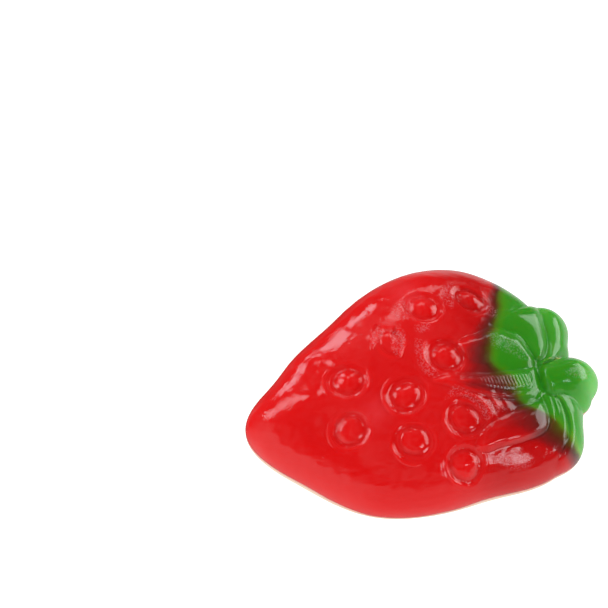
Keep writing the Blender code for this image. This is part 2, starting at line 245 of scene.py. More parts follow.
# Fine creases and ridges: height, half width, then x and y along each
LINES = (
    (0.06, 0.12, ((17.1, 2.5), (17.75, 3.9), (17.9, 5.1), (17.8, 6.5), (17.4, 7.9), (16.8, 9.0))),
    (-0.1, 0.12, ((16.9, 2.2), (18.0, 3.4), (18.4, 5.1), (18.35, 6.8), (18.2, 8.2))),
    (0.07, 0.12, ((16.0, 2.6), (15.55, 3.9), (14.8, 4.9), (13.6, 5.6))),
    (0.13, 0.16, ((15.4, -2.6), (13.8, -3.0), (11.9, -3.05), (9.9, -2.7), (7.9, -2.1), (5.8, -1.3))),
    (-0.08, 0.12, ((15.3, -3.0), (13.7, -3.4), (11.7, -3.5), (9.6, -3.1), (7.5, -2.5))),
    (0.11, 0.14, ((16.0, -5.9), (15.5, -6.75), (14.6, -7.3), (12.9, -7.85), (10.8, -8.4), (8.6, -9.1))),
    (-0.12, 0.12, ((16.45, -4.9), (16.3, -6.1), (15.7, -7.1), (14.6, -7.75), (12.6, -8.35), (9.6, -9.1))),
    (0.08, 0.1, ((16.75, -2.9), (16.85, -4.2), (16.8, -5.6), (16.6, -6.6))),
    (0.06, 0.09, ((17.3, -2.9), (17.5, -4.2), (17.5, -5.4))),
    (0.09, 0.11, ((17.7, -3.0), (18.1, -4.0), (18.4, -5.2), (18.4, -6.6), (18.1, -8.0), (17.6, -9.3),
                  (17.1, -11.2))),
    (-0.12, 0.11, ((18.1, -3.2), (18.55, -4.4), (18.75, -5.6), (18.7, -6.8), (18.4, -8.0), (17.9, -9.4))),
    (0.1, 0.13, ((16.1, -2.4), (15.7, -2.9), (15.1, -3.3))),
    (0.1, 0.12, ((16.7, 1.2), (17.5, 1.6), (18.8, 2.2), (20.5, 3.0))),
    (-0.14, 0.13, ((16.6, 0.9), (17.4, 1.3), (18.8, 1.9), (20.5, 2.7))),
    (-0.12, 0.14, ((16.4, -2.7), (17.6, -3.0), (18.8, -3.1), (20.2, -3.3))),
    (-0.2, 0.42, ((16.3, 1.2), (16.25, 0.3), (16.2, -0.8), (16.3, -1.8), (16.7, -2.7))),
    (-0.07, 0.14, ((19.4, 2.0), (20.3, 1.6), (21.2, 1.75), (21.9, 2.2))),
    (-0.26, 0.45, ((15.9, -3.2), (14.6, -3.7), (13.0, -4.0), (11.4, -4.2))),
)
# Shares of a line's length over which it comes in and goes out, and steps between two of its points
LINE_START = (-0.02, 0.12)
LINE_END = (1.0, 0.75)
LINE_STEPS = 6
EDGE_STEPS = 3
# Dent where the leaves meet
CREASE_DEPTH = 0.3
CREASE_RADIUS = 0.6
CREASE_AT = (16.1, 1.3)

# Patch of slanted mould marks, whose crests also carry a painted sheen, and patches of finely roughened,
# frosted surface whose colour carries painted speckled highlights: corners as x, y and the width over which
# they fade in
MARKS = ((15.0, -0.1, 0.3), (13.0, -0.3, 0.3), (10.5, -0.4, 0.4), (8.4, -0.7, 0.6), (10.0, -2.0, 0.4),
         (13.0, -2.2, 0.3), (14.9, -1.9, 0.3))
FROST_AND_SHEEN = (
    ((2.2, 5.4, 0.5), (3.7, 4.6, 0.5), (3.4, 2.6, 0.4), (4.4, 0.6, 0.5), (3.0, 0.0, 0.6), (1.8, 2.4, 0.6)),
    ((5.6, -1.0, 0.6), (8.6, -2.9, 0.5), (11.6, -4.4, 0.5), (9.8, -5.2, 0.5), (8.6, -6.0, 0.5),
     (7.8, -4.0, 0.4), (6.0, -2.6, 0.4), (4.2, -3.0, 0.5)),
    ((6.2, 10.6, 0.5), (7.2, 12.6, 0.5), (8.6, 13.0, 0.6), (8.2, 10.8, 0.5), (7.4, 8.6, 0.5)),
    ((1.9, 11.2, 0.5), (2.4, 9.4, 0.4), (2.0, 7.6, 0.5), (0.4, 8.2, 0.5), (0.2, 10.0, 0.6)),
    ((2.3, 7.0, 0.5), (4.4, 7.2, 0.5), (4.2, 6.0, 0.5), (2.6, 5.8, 0.5)),
    ((11.6, 9.4, 0.5), (12.9, 8.6, 0.5), (12.6, 7.2, 0.5), (11.4, 7.8, 0.5)),
    ((10.9, 5.3, 0.3), (12.7, 4.7, 0.3), (14.2, 3.6, 0.3), (15.1, 2.5, 0.3), (15.6, 1.4, 0.3),
     (14.3, 1.4, 0.5), (12.9, 2.1, 0.6), (10.9, 3.1, 0.6)),
    ((19.0, -0.2, 0.4), (20.8, 0.2, 0.4), (22.6, 0.2, 0.5), (22.6, -1.1, 0.5), (20.8, -1.3, 0.4),
     (19.2, -1.0, 0.4)),
    ((0.5, 7.2, 0.2), (1.2, 6.5, 0.2), (1.25, 5.1, 0.2), (0.5, 3.5, 0.2), (-0.1, 3.0, 0.2), (-0.75, 4.3, 0.2),
     (-0.3, 6.2, 0.2)),
    ((-3.1, 4.4, 0.2), (-2.7, 6.1, 0.2), (-1.8, 7.5, 0.2), (-1.15, 6.6, 0.2), (-2.0, 5.2, 0.2)),
    ((8.3, -9.4, 0.4), (10.6, -9.3, 0.5), (12.9, -9.2, 0.6), (13.9, -10.2, 0.6), (12.6, -11.1, 0.6),
     (10.6, -11.0, 0.6), (9.2, -10.4, 0.5)),
)

# Painted soft reflections, paler spots in the red: middle x, middle y and size
PAINTED_REFLECTIONS = ((-3.7, -3.2, 1.5), (2.4, 12.0, 1.6))

# Border between green and red, as x at each y, and the width of the dark blend on its red side and of the
# lighter one on its green side
BORDER_Y = (-11.5, -9.6, -9.0, -8.2, -6.4, -5.2, -4.6, -3.3, -1.4, 0.3, 1.5, 3.0, 4.5, 6.0, 8.0, 11.0, 13.7)
BORDER_X = (21.8, 19.7, 18.8, 18.1, 17.1, 15.8, 14.3, 12.8, 12.6, 11.6, 10.5, 10.5, 11.0, 11.8, 12.6, 13.7,
            14.4)
BLEND_Y = (-11.5, -9.0, -8.0, -6.6, -5.0, -3.8, -3.0, -1.5, 0.0, 1.2, 2.5, 5.0, 8.0, 14.0)
BLEND_WIDTH = (2.0, 3.2, 4.6, 6.4, 5.0, 2.4, 3.0, 6.0, 5.0, 3.0, 2.6, 2.2, 1.3, 0.9)
GREEN_BLEND = 1.5

# Shares that the jelly's material reads, each by the two values between which it goes from 0 to 1. Painted
# glow, a lighter green where light shines through the jelly: x and distance in y at the stem knob, z and x low
# on the crown's sides with the most that it is there, and the crown field at its edge
KNOB_X = (19.5, 23.5)
KNOB_Y = (6.0, 1.0)
KNOB_MIDDLE = 0.1
SIDE_Z = (9.0, 4.0)
SIDE_X = (14.0, 18.0)
SIDE_SHARE = 0.6
LIGHT_CROWN = (-0.1, 0.4)
# Painted light in the seed grooves, lifting the shade there, by the distance from a seed, and deeper red, by
# x, each with the crown field at its edge
GROOVE_IN = (1.5, 1.8)
GROOVE_OUT = (2.3, 1.9)
GROOVE_CROWN = (0.0, -0.3)
DEEP_X = (4.0, 11.0)
DEEP_CROWN = (0.1, -0.2)

JELLY_DIVISIONS = 8
FOAM_DIVISIONS = 7

# Colours of the jelly: across the border at shares of the crown field from -1.5 to 1.5, how much clouds shift
# it, then what deepens the red towards the crown end, the painted glow that lightens the green, the painted
# light that lightens the seed grooves, the painted soft reflections that pale the red, the painted highlight
# haze of the frosted patches on red and on green, and how much of it the speckle and the mould marks carry as
# painted highlights
WHITE = (1, 1, 1)
CROWN_SPAN = 1.5
CROWN_COLORS = (
    (0.08, (0.70, 0.0078, 0.0085)),
    (0.17, (0.60, 0.0085, 0.0095)),
    (0.25, (0.40, 0.012, 0.013)),
    (0.35, (0.24, 0.018, 0.016)),
    (0.42, (0.15, 0.028, 0.012)),
    (0.48, (0.11, 0.080, 0.009)),
    (0.55, (0.088, 0.19, 0.008)),
    (0.66, (0.068, 0.285, 0.008)),
    (0.85, (0.040, 0.285, 0.011)),
)
BORDER_CLOUDS = 0.18
DEEP_TINT = (0.78, 0.85, 0.85)
PAINTED_GLOW_TINT = (3.3, 2.1, 6.2)
PAINTED_GROOVE_LIGHT = (1.07, 1.1, 1.1)
PAINTED_REFLECTION_RED = (0.74, 0.030, 0.036)
PAINTED_HAZE_COLORS = ((0.42, (0.72, 0.24, 0.27)), (0.50, (0.30, 0.42, 0.26)))
SPECKLE_SHARE = 0.34
STRIPE_SHARE = 0.12

# Noises of the jelly: scale per mm, detail and roughness, and the values of them that become 0 and 1
BORDER_NOISE = (0.9, 2, 0.5)
PATCH_NOISE = (0.45, 2, 0.5)
PATCH_RANGE = (0.42, 0.62)
GRAIN_NOISE = (3.4, 2, 0.7)
SPECKLE_NOISE = (4.2, 2, 0.7)
SPECKLE_RANGE = (0.48, 0.60)
GLOSS_NOISE = (3.2, 2, 0.7)
GLOSS_RANGE = (0.45, 0.75)

# Fine relief of the jelly, in mm: grain outside and inside the patches and how much of it the crown keeps,
# specks, ripples around the seeds, and mould marks. Turns are in radians per mm, wobbles in radians
GRAIN_HEIGHTS = (0.006, 0.040)
GRAIN_CROWN = (-0.9, -0.3, 1.0, 0.3)
SPECK_SCALE = 0.4
SPECK_REACH = 0.06
SPECK_HEIGHT = 0.03
RIPPLE_HEIGHT = 0.005
RIPPLE_TURNS = 22.0
RIPPLE_WOBBLE = 5.0
RIPPLE_NOISE = 0.8
RIPPLE_IN = (1.0, 1.5)
RIPPLE_OUT = (3.2, 2.4)
STRIPE_HEIGHT = 0.013
STRIPE_TURNS = (16.0, 3.6, 0.0)
STRIPE_WOBBLE = 6.0
STRIPE_NOISE = 0.6
# Values of the mould marks between which their painted sheen goes from 0 to 1
STRIPE_BRIGHT = (0.0, 0.9)

# Gloss and depth of the jelly: roughness of the plain surface, what the frosted patches add to it, and what the
# crown adds between two values of its field, then how deep light goes, in metres, for red, green and blue
ROUGHNESS = (0.03, 0.08)
FROST_ROUGHNESS = 0.05
CROWN_ROUGHNESS = (-0.8, 0.2, 0.0, 0.08)
JELLY_IOR = 1.45
JELLY_DEPTH = 0.002
JELLY_RADIUS = (1.0, 0.25, 0.15)

# Foam: its two cream tones, the red that has bled into it within so many mm of the border, how deep light
# goes, its roughness, and its pores as noise, strength and depth in mm
CREAM_NOISE = (0.25, 3)
CREAM_TONES = ((0.3, (0.80, 0.70, 0.53)), (0.7, (0.86, 0.79, 0.64)))
BLED_RED = (0.80, 0.36, 0.28)
BLEED_REACH = 0.45
FOAM_WEIGHT = 0.4
FOAM_DEPTH = 0.0012
FOAM_RADIUS = (1.0, 0.8, 0.6)
FOAM_ROUGHNESS = 0.5
PORE_NOISE = (3.0, 5, 0.6)
PORE_STRENGTH = 0.3
PORE_DEPTH = 0.05

# Lights: name, azimuth, elevation, angular width and height in degrees, radiance, and how much red each has
LIGHTS = (
    ("right_box", 14, 17, 62, 34, 3.9, 1.0),
    ("front_box", -51, 38, 18, 14, 6.6, 0.8),
    ("back_box_a", 107, 11, 11, 15, 4.4, 0.7),
    ("back_box_b", 119, 4, 8, 12, 4.0, 0.7),
    ("back_box_c", 134, 32, 18, 18, 4.0, 0.85),
    ("back_box_d", 155, 24, 17, 15, 5.2, 0.8),
    ("back_box_e", 90, 35, 12, 9, 3.2, 0.9),
    ("back_box_f", 65, 8, 6, 9, 0.8, 1.0),
    ("back_box_g", 77, 26, 12, 13, 2.4, 0.9),
    ("right_mid", 24, 40, 11, 9, 2.6, 1.0),
)
# Their distance in metres, and how much bluer one gets as it has less red
LIGHT_DISTANCE = 0.5
COOLER_BLUE = 0.3
# Even soft fill from all round, how much more of it comes from the tip's side, and how much more from behind
FILL = 1.0
FILL_TIP = 0.18
FILL_BEHIND = 0.3

# The room that the gloss reflects. Each line gives two values of what it depends on, and the results there
SURROUND_EDGE = (-0.1, 0.6, 0.46, 0.2)
SURROUND_FADE = (-0.04, 0.02, 1.0, 0.0)
SURROUND_SIDES = (0.2, 0.8, 0.55, 1.0)
SURROUND_BEHIND = (-0.1, 0.4, 1.0, 0.1)
CLOUD_SCALE = 2.2
CLOUDS = (0.45, 0.75, 0.02, 0.5)
CLOUDS_RIGHT = (0.15, 0.5, 1.0, 0.3)
FLOOR_GLOW = (-0.45, -0.15, 0.7, 0.0)
FLOOR_GLOW_RIGHT = (-0.15, 0.3, 0.0, 1.0)

# Floor: grey and glow of its pale surface, its radius in metres, and its gap below the piece in mm
FLOOR_GREY = 0.85
FLOOR_LIGHT = 0.5
FLOOR_RADIUS = 3.0
FLOOR_GAP = 0.02

# Camera: azimuth, elevation and roll in degrees, distance in mm, and the pixel of the middle of the dome
CAMERA = (-10.6, 63.5, 2.6, 206.3, 396.72, 417.87)
CAMERA_ANGLE = 20.0
IMAGE_SIZE = 608


# Form


def knot_bends(angles, radii):
    """Second derivatives of the periodic cubic through the knots."""
    count = len(angles)
    step = np.diff(np.append(angles, angles[0] + 360.0))
    rise = np.diff(np.append(radii, radii[0])) / step
    matrix = np.zeros((count, count))
    right = np.zeros(count)
    for i in range(count):
        before = (i - 1) % count
        matrix[i, before] += step[before]
        matrix[i, i] += 2 * (step[before] + step[i])
        matrix[i, (i + 1) % count] += step[i]
        right[i] = 6 * (rise[i] - rise[before])
    return np.linalg.solve(matrix, right)


KNOTS = np.array(OUTLINE_ANGLES, float)
RADII = np.array(OUTLINE_RADII, float)
BENDS = knot_bends(KNOTS, RADII)


def body_radius(theta):
    """Radius of the plain body outline."""
    angle = (np.degrees(theta) - KNOTS[0]) % 360 + KNOTS[0]
    ends = np.append(KNOTS, KNOTS[0] + 360)
    i = np.clip(np.searchsorted(ends, angle, side="right") - 1, 0, len(KNOTS) - 1)
    j = (i + 1) % len(KNOTS)
    step = ends[i + 1] - ends[i]
    a = (ends[i + 1] - angle) / step
    b = 1 - a
    bend = ((a ** 3 - a) * BENDS[i] + (b ** 3 - b) * BENDS[j]) * step ** 2 / 6
    return a * RADII[i] + b * RADII[j] + bend


def full_radius(theta):
    """Radius of the outline with the stem knob and the end leaves."""
    radius = body_radius(theta)
    for x, y, size in LOBES:
        along = x * np.cos(theta) + y * np.sin(theta)
        inside = size * size - x * x - y * y + along ** 2
        reach = np.where(inside > 0, along + np.sqrt(np.maximum(inside, 0)), 0)
        steep = np.clip((reach - radius) / LOBE_BLEND, -STEEPEST, STEEPEST)
        blended = radius + LOBE_BLEND * np.log1p(np.exp(steep))
        radius = np.where(steep < STEEPEST - 1, blended, reach)
    return radius


def dome(phi, theta):
    """Plain dome: phi runs from 0 at the top to a quarter turn at the widest level."""
    share = np.sin(phi) ** (2 / PLAN_EXPONENT)
    plain = body_radius(theta)
    radius = plain * share + (full_radius(theta) - plain) * share ** LOBE_EXPONENT
    x = radius * np.cos(theta)
    y = radius * np.sin(theta)
    tip_drop = TIP_DROP * np.clip(-x / TIP_REACH, 0, TIP_END) ** 2
    crown_drop = CROWN_DROP * np.clip(x / CROWN_REACH, 0, CROWN_END) ** 2
    top = DOME_HEIGHT - tip_drop - crown_drop
    z = RIM_HEIGHT + (top - RIM_HEIGHT) * np.maximum(np.cos(phi), 0) ** (2 / RISE_EXPONENT)
    return np.stack([x, y, z], -1)


def back(turn, theta):
    """Underside: turn runs from 0 at the widest level to 1 at the middle."""
    radius = full_radius(theta) * np.maximum(np.cos(turn * QUARTER), 0) ** (2 / BACK_EXPONENT)
    z = RIM_HEIGHT - (RIM_HEIGHT + BELLY) * np.sin(turn * QUARTER) ** (2 / BACK_EXPONENT)
    return np.stack([radius * np.cos(theta), radius * np.sin(theta), z], -1)


def smooth(low, high, value):
    """Smooth step from 0 at low to 1 at high, which may be the smaller of the two."""
    t = np.clip((value - low) / (high - low), 0, 1)
    return t * t * (3 - 2 * t)


def waves(points, size, seed, count=14):
    """Smooth even unevenness, about -1 to 1, of bumps about so many mm across."""
    rng = np.random.default_rng(seed)
    total = np.zeros(len(points))
    for _ in range(count):
        direction = rng.normal(size=3)
        direction *= 2 * math.pi / (size * rng.uniform(0.75, 1.6)) / np.linalg.norm(direction)
        total += np.sin(points @ direction + rng.uniform(0, 2 * math.pi))
    return total / math.sqrt(count)


def bumps(points, table):
    """Sum of the waves in a table of their heights, sizes and patterns."""
    return sum(height * waves(points, size, seed) for height, size, seed in table)


# Relief


def seed_frame(x, y, seed):
    """Distance from a seed's middle as a share of its size, and the angle around it."""
    seed_x, seed_y, long, wide, turn = seed[:5]
    c, s = math.cos(math.radians(turn)), math.sin(math.radians(turn))
    u = ((x - seed_x) * c + (y - seed_y) * s) / long
    v = ((y - seed_y) * c - (x - seed_x) * s) / wide
    return np.hypot(u, v), np.arctan2(v, u)


def seed_relief(x, y):
    """A raised dome with a ledge, in a groove with a rounded outer wall, for each seed."""
    relief = np.zeros_like(x)
    for k, seed in enumerate(SEEDS):
        long, wide, _, rise, depth, wall = seed[2:]
        far, around = seed_frame(x, y, seed)
        egg = SEED_UNEVEN * np.sin(2 * around + 1.7 * k) + SEED_UNEVEN / 2 * np.sin(3 * around + 2.9 * k)
        far = far * (1 + egg)
        raised = (rise + depth) * np.maximum(1 - far ** 2, 0) ** SEED_EXPONENT - depth
        raised -= LEDGE_DEPTH * np.exp(-((far - LEDGE_AT) * wide / LEDGE_WIDTH) ** 2)
        egg = GROOVE_UNEVEN * np.sin(around + 2.3 * k) + GROOVE_UNEVEN / 3 * np.sin(3 * around + k)
        out = (far - 1) * (long + wide) / 2 / (wall * (1 + egg))
        sunk = -depth * (1 - smooth(GROOVE_FLOOR, 1, out))
        relief += np.where(far < 1, raised, sunk)
    return relief


def seed_distance(x, y):
    """Distance in mm from the nearest seed's middle, evened out to round rings."""
    best = np.full(len(x), FAR)
    for seed in SEEDS:
        far = seed_frame(x, y, seed)[0] * (seed[2] + seed[3]) / 2
        best = np.minimum(best, far)
    return best


def polyline(points, steps):
    """A smooth line through the given points, with what else they carry."""
    points = np.array(points, float)
    padded = np.vstack([2 * points[0] - points[1], points, 2 * points[-1] - points[-2]])
    line = []
    for i in range(1, len(padded) - 2):
        p0, p1, p2, p3 = padded[i - 1:i + 3]
        for t in np.linspace(0, 1, steps, endpoint=False):
            line.append(0.5 * (2 * p1 + (p2 - p0) * t + (2 * p0 - 5 * p1 + 4 * p2 - p3) * t ** 2
                               + (3 * p1 - p0 - 3 * p2 + p3) * t ** 3))
    return np.array(line + [points[-1]])


def near_line(x, y, line, margin):
    """Indices of the points inside the line's box, widened by a margin."""
    low, high = line[:, :2].min(0) - margin, line[:, :2].max(0) + margin
    return np.where((x > low[0]) & (x < high[0]) & (y > low[1]) & (y < high[1]))[0]


def segment(x, y, start, end):
    """How far along a straight piece each point lies, 0 to 1, and how far from it."""
    (ax, ay), (bx, by) = start[:2], end[:2]
    length = (bx - ax) ** 2 + (by - ay) ** 2 + TINY
    t = np.clip(((x - ax) * (bx - ax) + (y - ay) * (by - ay)) / length, 0, 1)
    return t, np.hypot(x - ax - t * (bx - ax), y - ay - t * (by - ay))


def pillow(x, y, height, corners, growth=0.0):
    """A rise inside a closed outline, rounded along its edge, which is moved out by the growth."""
    line = polyline(corners + corners[:1], EDGE_STEPS)
    near = near_line(x, y, line, growth)
    px, py = x[near], y[near]
    inside = np.zeros(len(near), bool)
    best = np.full(len(near), FAR)
    least = np.full(len(near), FAR)
    share = np.zeros(len(near))
    for start, end in zip(line[:-1], line[1:]):
        (ax, ay, a_width), (bx, by, b_width) = start, end
        crosses = (ay > py) != (by > py)
        inside ^= crosses & (px < (bx - ax) * (py - ay) / (by - ay + TINY) + ax)
        t, away = segment(px, py, start, end)
        width = a_width + t * (b_width - a_width)
        least = np.minimum(least, (away + growth) / width)
        share = np.where(away < best, (growth - away) / width, share)
        best = np.minimum(best, away)
    share = np.clip(np.where(inside, least, share), 0, 1)
    rise = np.zeros_like(x)
    rise[near] = height * (1 - (1 - share) ** 2)
    return rise


def arc_relief(x, y):
    """Arcs that fall gently to one side and steeply to the other."""
    relief = np.zeros_like(x)
    for arc_x, arc_y, radius, height, fall, start, end in ARCS:
        out = (np.hypot(x - arc_x, y - arc_y) - radius) * np.sign(fall)
        turned = (np.degrees(np.arctan2(y - arc_y, x - arc_x)) - start) % 360
        fade = smooth(0, ARC_FADE, turned) * smooth(end - start, end - start - ARC_FADE, turned)
        gentle = np.clip(1 - out / abs(fall), 0, 1)
        steep = np.clip(1 + out / ARC_STEP, 0, 1)
        relief += height * fade * np.where(out > 0, gentle, steep)
    return relief


def facet_relief(x, y):
    """Slanted facets, each tilted around its own middle."""
    relief = np.zeros_like(x)
    for slope_x, slope_y, corners in FACETS:
        middle = np.mean([corner[:2] for corner in corners], axis=0)
        plane = slope_x * (x - middle[0]) + slope_y * (y - middle[1])
        relief -= plane * pillow(x, y, 1.0, corners)
    return relief


def line_relief(x, y):
    """Fine creases and ridges, which fade at their ends."""
    relief = np.zeros_like(x)
    for height, half, points in LINES:
        line = polyline(points, LINE_STEPS)
        near = near_line(x, y, line, 3 * half)
        px, py = x[near], y[near]
        best = np.full(len(near), FAR)
        along = np.zeros(len(near))
        for i, (start, end) in enumerate(zip(line[:-1], line[1:])):
            t, away = segment(px, py, start, end)
            along = np.where(away < best, (i + t) / (len(line) - 1), along)
            best = np.minimum(best, away)
        fade = smooth(*LINE_START, along) * smooth(*LINE_END, along)
        relief[near] += height * fade * np.exp(-(best / half) ** 2)
    return relief


def leaf_relief(x, y):
    """Rounded leaves and stem that meet in creases."""
    relief = np.zeros_like(x)
    outer = np.clip((x - OUTER_END[0]) / (OUTER_END[1] - OUTER_END[0]), 0, 1)
    for near, far, corners in LEAVES.values():
        height = near + (far - near) * outer
        relief = np.maximum(relief, pillow(x, y, 1.0, corners, LEAF_GROWTH) * height)
    relief += pillow(x, y, *INNER_LEAF) + line_relief(x, y)
    away = np.hypot(x - CREASE_AT[0], y - CREASE_AT[1]) / CREASE_RADIUS
    return relief - CREASE_DEPTH * np.exp(-away ** 2)


def surface(phi, theta):
    """The dome with its relief, which fades out at the widest level."""
    step = 1e-3
    phi = np.clip(phi, TOP_ANGLE, QUARTER)
    place = dome(phi, theta)
    inward = dome(np.maximum(phi - step, TOP_ANGLE / 2), theta) - place
    around = dome(phi, theta + step) - dome(phi, theta - step)
    normal = np.cross(around, inward)
    normal /= np.maximum(np.linalg.norm(normal, axis=-1, keepdims=True), TINY)
    normal = np.where(normal[..., 2:] < 0, -normal, normal)
    x, y = place[..., 0], place[..., 1]
    fine = bumps(place, FINE_WAVES) * (1 - FINE_LOSS * smooth(*FINE_END, x))
    relief = seed_relief(x, y) + arc_relief(x, y) + facet_relief(x, y) + bumps(place, SURFACE_WAVES) + fine
    fade = 1 - np.sin(phi) ** RELIEF_EXPONENT
    place = place + normal * (relief * fade)[..., None]
    place[..., 2] += leaf_relief(x, y) * fade
    return place


# Whole form and its pieces


def even_rise(wide=17.0, rise=7.7, count=400, low_part=1.2, low_weight=0.6):
    """Angles on the dome's section at equal steps along it, which are longer in its low part."""
    phi = np.linspace(0, QUARTER, count)
    along = wide * np.sin(phi) ** (2 / PLAN_EXPONENT)
    up = rise * np.maximum(np.cos(phi), 0) ** (2 / RISE_EXPONENT)
    weight = np.where(phi[1:] < low_part, 1.0, low_weight)
    length = np.append(0, np.cumsum(np.hypot(np.diff(along), np.diff(up)) * weight))
    return length / length[-1] * QUARTER, phi


EVEN, EVEN_PHI = even_rise()


def border_level(theta):
    """Level of the border between jelly and foam around the piece."""
    level = np.interp(np.degrees(theta) % 360, BORDER_TURNS, BORDER_LEVELS)
    return level + sum(height * np.sin(count * theta + start) for height, count, start in LEVEL_WAVES)


def border_angle(theta):
    """The section's angle at that border: below a quarter turn on the dome, above it on the underside."""
    level = border_level(theta)
    dome_rise = DOME_HEIGHT - CROWN_DROP / 2 - RIM_HEIGHT
    up = np.clip((level - RIM_HEIGHT) / dome_rise, 0, 1) ** (RISE_EXPONENT / 2)
    down = np.clip((RIM_HEIGHT - level) / (RIM_HEIGHT + BELLY), 0, 1) ** (BACK_EXPONENT / 2)
    return np.where(level > RIM_HEIGHT, np.arccos(up), QUARTER + np.arcsin(down))


def form(angle, theta):
    """Places on the whole form, from angle 0 at the top to pi at the bottom."""
    above = surface(angle, theta)
    below = back(np.clip(angle / QUARTER - 1, 0, 1), theta)
    place = np.where((angle <= QUARTER)[:, None], above, below)
    away = place[:, 2] - border_level(theta)
    inset = SEAM_DEPTH * np.exp(-(away / SEAM_WIDTH) ** 2)
    place[:, 0] -= inset * np.cos(theta)
    place[:, 1] -= inset * np.sin(theta)
    return place


def half_ball(subdivisions, upper):
    """Points and faces of half of a finely divided ball, and its edge in order around it."""
    level = 1e-4
    bm = bmesh.new()
    bmesh.ops.create_icosphere(bm, subdivisions=subdivisions, radius=1)
    side = 1 if upper else -1
    bmesh.ops.delete(bm, geom=[v for v in bm.verts if v.co.z * side < -level], context="VERTS")
    mesh = bpy.data.meshes.new("half")
    bm.to_mesh(mesh)
    bm.free()
    points = np.zeros(len(mesh.vertices) * 3, np.float32)
    mesh.vertices.foreach_get("co", points)
    points = points.reshape(-1, 3).astype(float)
    faces = np.zeros(len(mesh.polygons) * 3, np.int32)
    mesh.polygons.foreach_get("vertices", faces)
    bpy.data.meshes.remove(mesh)
    edge = np.where(np.abs(points[:, 2]) < level)[0]
    edge = edge[np.argsort(np.arctan2(points[edge, 1], points[edge, 0]))]
    return points, faces.reshape(-1, 3), edge


def capped(points, faces, edge, level, upward):
    """Closes the open edge with a flat fan to a middle point at the given level."""
    points = np.vstack([points, [[0, 0, level]]])
    last = len(points) - 1
    ring = edge.tolist()
    fan = [(a, b, last) if upward else (b, a, last) for a, b in zip(ring, ring[1:] + ring[:1])]
    return points, faces.tolist() + fan


def make_piece(name, points, faces, attributes, material):
    """A mesh object in the frame of the solids, kept inside their box, with its values at each point."""
    mesh = bpy.data.meshes.new(name)
    mesh.from_pydata(np.clip((points - MIDDLE) * MM, *CAD_BOX).tolist(), [], faces)
    mesh.update()
    for key, values in attributes.items():
        mesh.attributes.new(key, "FLOAT", "POINT").data.foreach_set("value", values.astype(np.float32))
    mesh.materials.append(material)
    mesh.shade_smooth()
    piece = bpy.data.objects.new(name, mesh)
    bpy.context.scene.collection.objects.link(piece)
    return piece


def crown_field(points):
    """Above 0 on the green end, and from 0 to -1 across the dark blend on its red side."""
    x, y = points[:, 0], points[:, 1]
    past = x - np.interp(y, BORDER_Y, BORDER_X) + bumps(points, CROWN_WAVES)
    return np.where(past > 0, past / GREEN_BLEND, past / np.interp(y, BLEND_Y, BLEND_WIDTH))


def jelly_fields(places):
    """What the jelly's material reads at each point: most of it is a share from 0 to 1."""
    x, y, z = places.T
    crown = crown_field(places)
    ring = seed_distance(x, y)
    knob = smooth(*KNOB_X, x) * smooth(*KNOB_Y, np.abs(y - KNOB_MIDDLE))
    low_sides = SIDE_SHARE * smooth(*SIDE_Z, z) * smooth(*SIDE_X, x)
    return {
        "crown": crown,
        "ring": ring,
        # Painted glow: lighter green where light shines through the stem knob and the low sides of the crown
        "painted_glow": np.maximum(knob, low_sides) * smooth(*LIGHT_CROWN, crown),
        "marks": pillow(x, y, 1.0, MARKS),
        # Frosted patches: rougher and grainier, with painted speckled highlights in their colour
        "frost_and_sheen": np.minimum(sum(pillow(x, y, 1.0, corners) for corners in FROST_AND_SHEEN), 1),
        # Painted light in the seed grooves, lifting the shade there
        "groove": smooth(*GROOVE_IN, ring) * smooth(*GROOVE_OUT, ring) * smooth(*GROOVE_CROWN, crown),
        "deep": smooth(*DEEP_X, x + bumps(places, DEEP_WAVES)) * smooth(*DEEP_CROWN, crown),
        # Painted soft reflections: paler spots in the red
        "pale": sum(np.exp(-((x - px) ** 2 + (y - py) ** 2) / size ** 2) for px, py, size in PAINTED_REFLECTIONS),
    }


def make_jelly():
    """The red and green jelly, down to its border with the foam."""
    points, faces, edge = half_ball(JELLY_DIVISIONS - int(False), True)
    phi = np.interp(np.arccos(np.clip(points[:, 2], -1, 1)), EVEN, EVEN_PHI)
    theta = np.arctan2(points[:, 1], points[:, 0])
    places = form(phi * border_angle(theta) / QUARTER, theta)
    fields = {name: np.append(values, values.min()) for name, values in jelly_fields(places).items()}
    places, faces = capped(places, faces, edge, BORDER_LEVEL + SEAM_GAP, False)
    places[edge, 2] += SEAM_GAP
    return make_piece("jelly", places, faces, fields, jelly_material())


def make_foam():
    """The cream foam below that border, flat where it rests."""
    points, faces, edge = half_ball(FOAM_DIVISIONS - int(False), False)
    theta = np.arctan2(points[:, 1], points[:, 0])
    start = border_angle(theta)
    down = np.arccos(np.clip(-points[:, 2], -1, 1)) / QUARTER
    places = form(start + (1 - down) * (math.pi - start), theta)
    bleed = np.exp(-np.maximum(border_level(theta) - places[:, 2], 0) / BLEED_REACH)
    places[:, 2] += bumps(places, FOAM_WAVES) * smooth(*FOAM_BELOW, places[:, 2])
    places[:, 2] = np.maximum(places[:, 2], 0)
    places, faces = capped(places, faces, edge, BORDER_LEVEL - SEAM_GAP, True)
    places[edge, 2] -= SEAM_GAP
    return make_piece("foam", places, faces, {"bleed": np.append(bleed, 1)}, foam_material())


# Materials


def new_material(name):
    material = bpy.data.materials.new(name)
    material.use_nodes = True
    tree = material.node_tree
    return material, tree, tree.nodes["Principled BSDF"]


def node(tree, kind, inputs=None, **settings):
    """A node with its settings, and its inputs linked or set to values."""
    made = tree.nodes.new(kind)
    for key, value in settings.items():
        setattr(made, key, value)
    for key, value in (inputs or {}).items():
        if isinstance(value, bpy.types.NodeSocket):
            tree.links.new(value, made.inputs[key])
        else:
            made.inputs[key].default_value = value
    return made


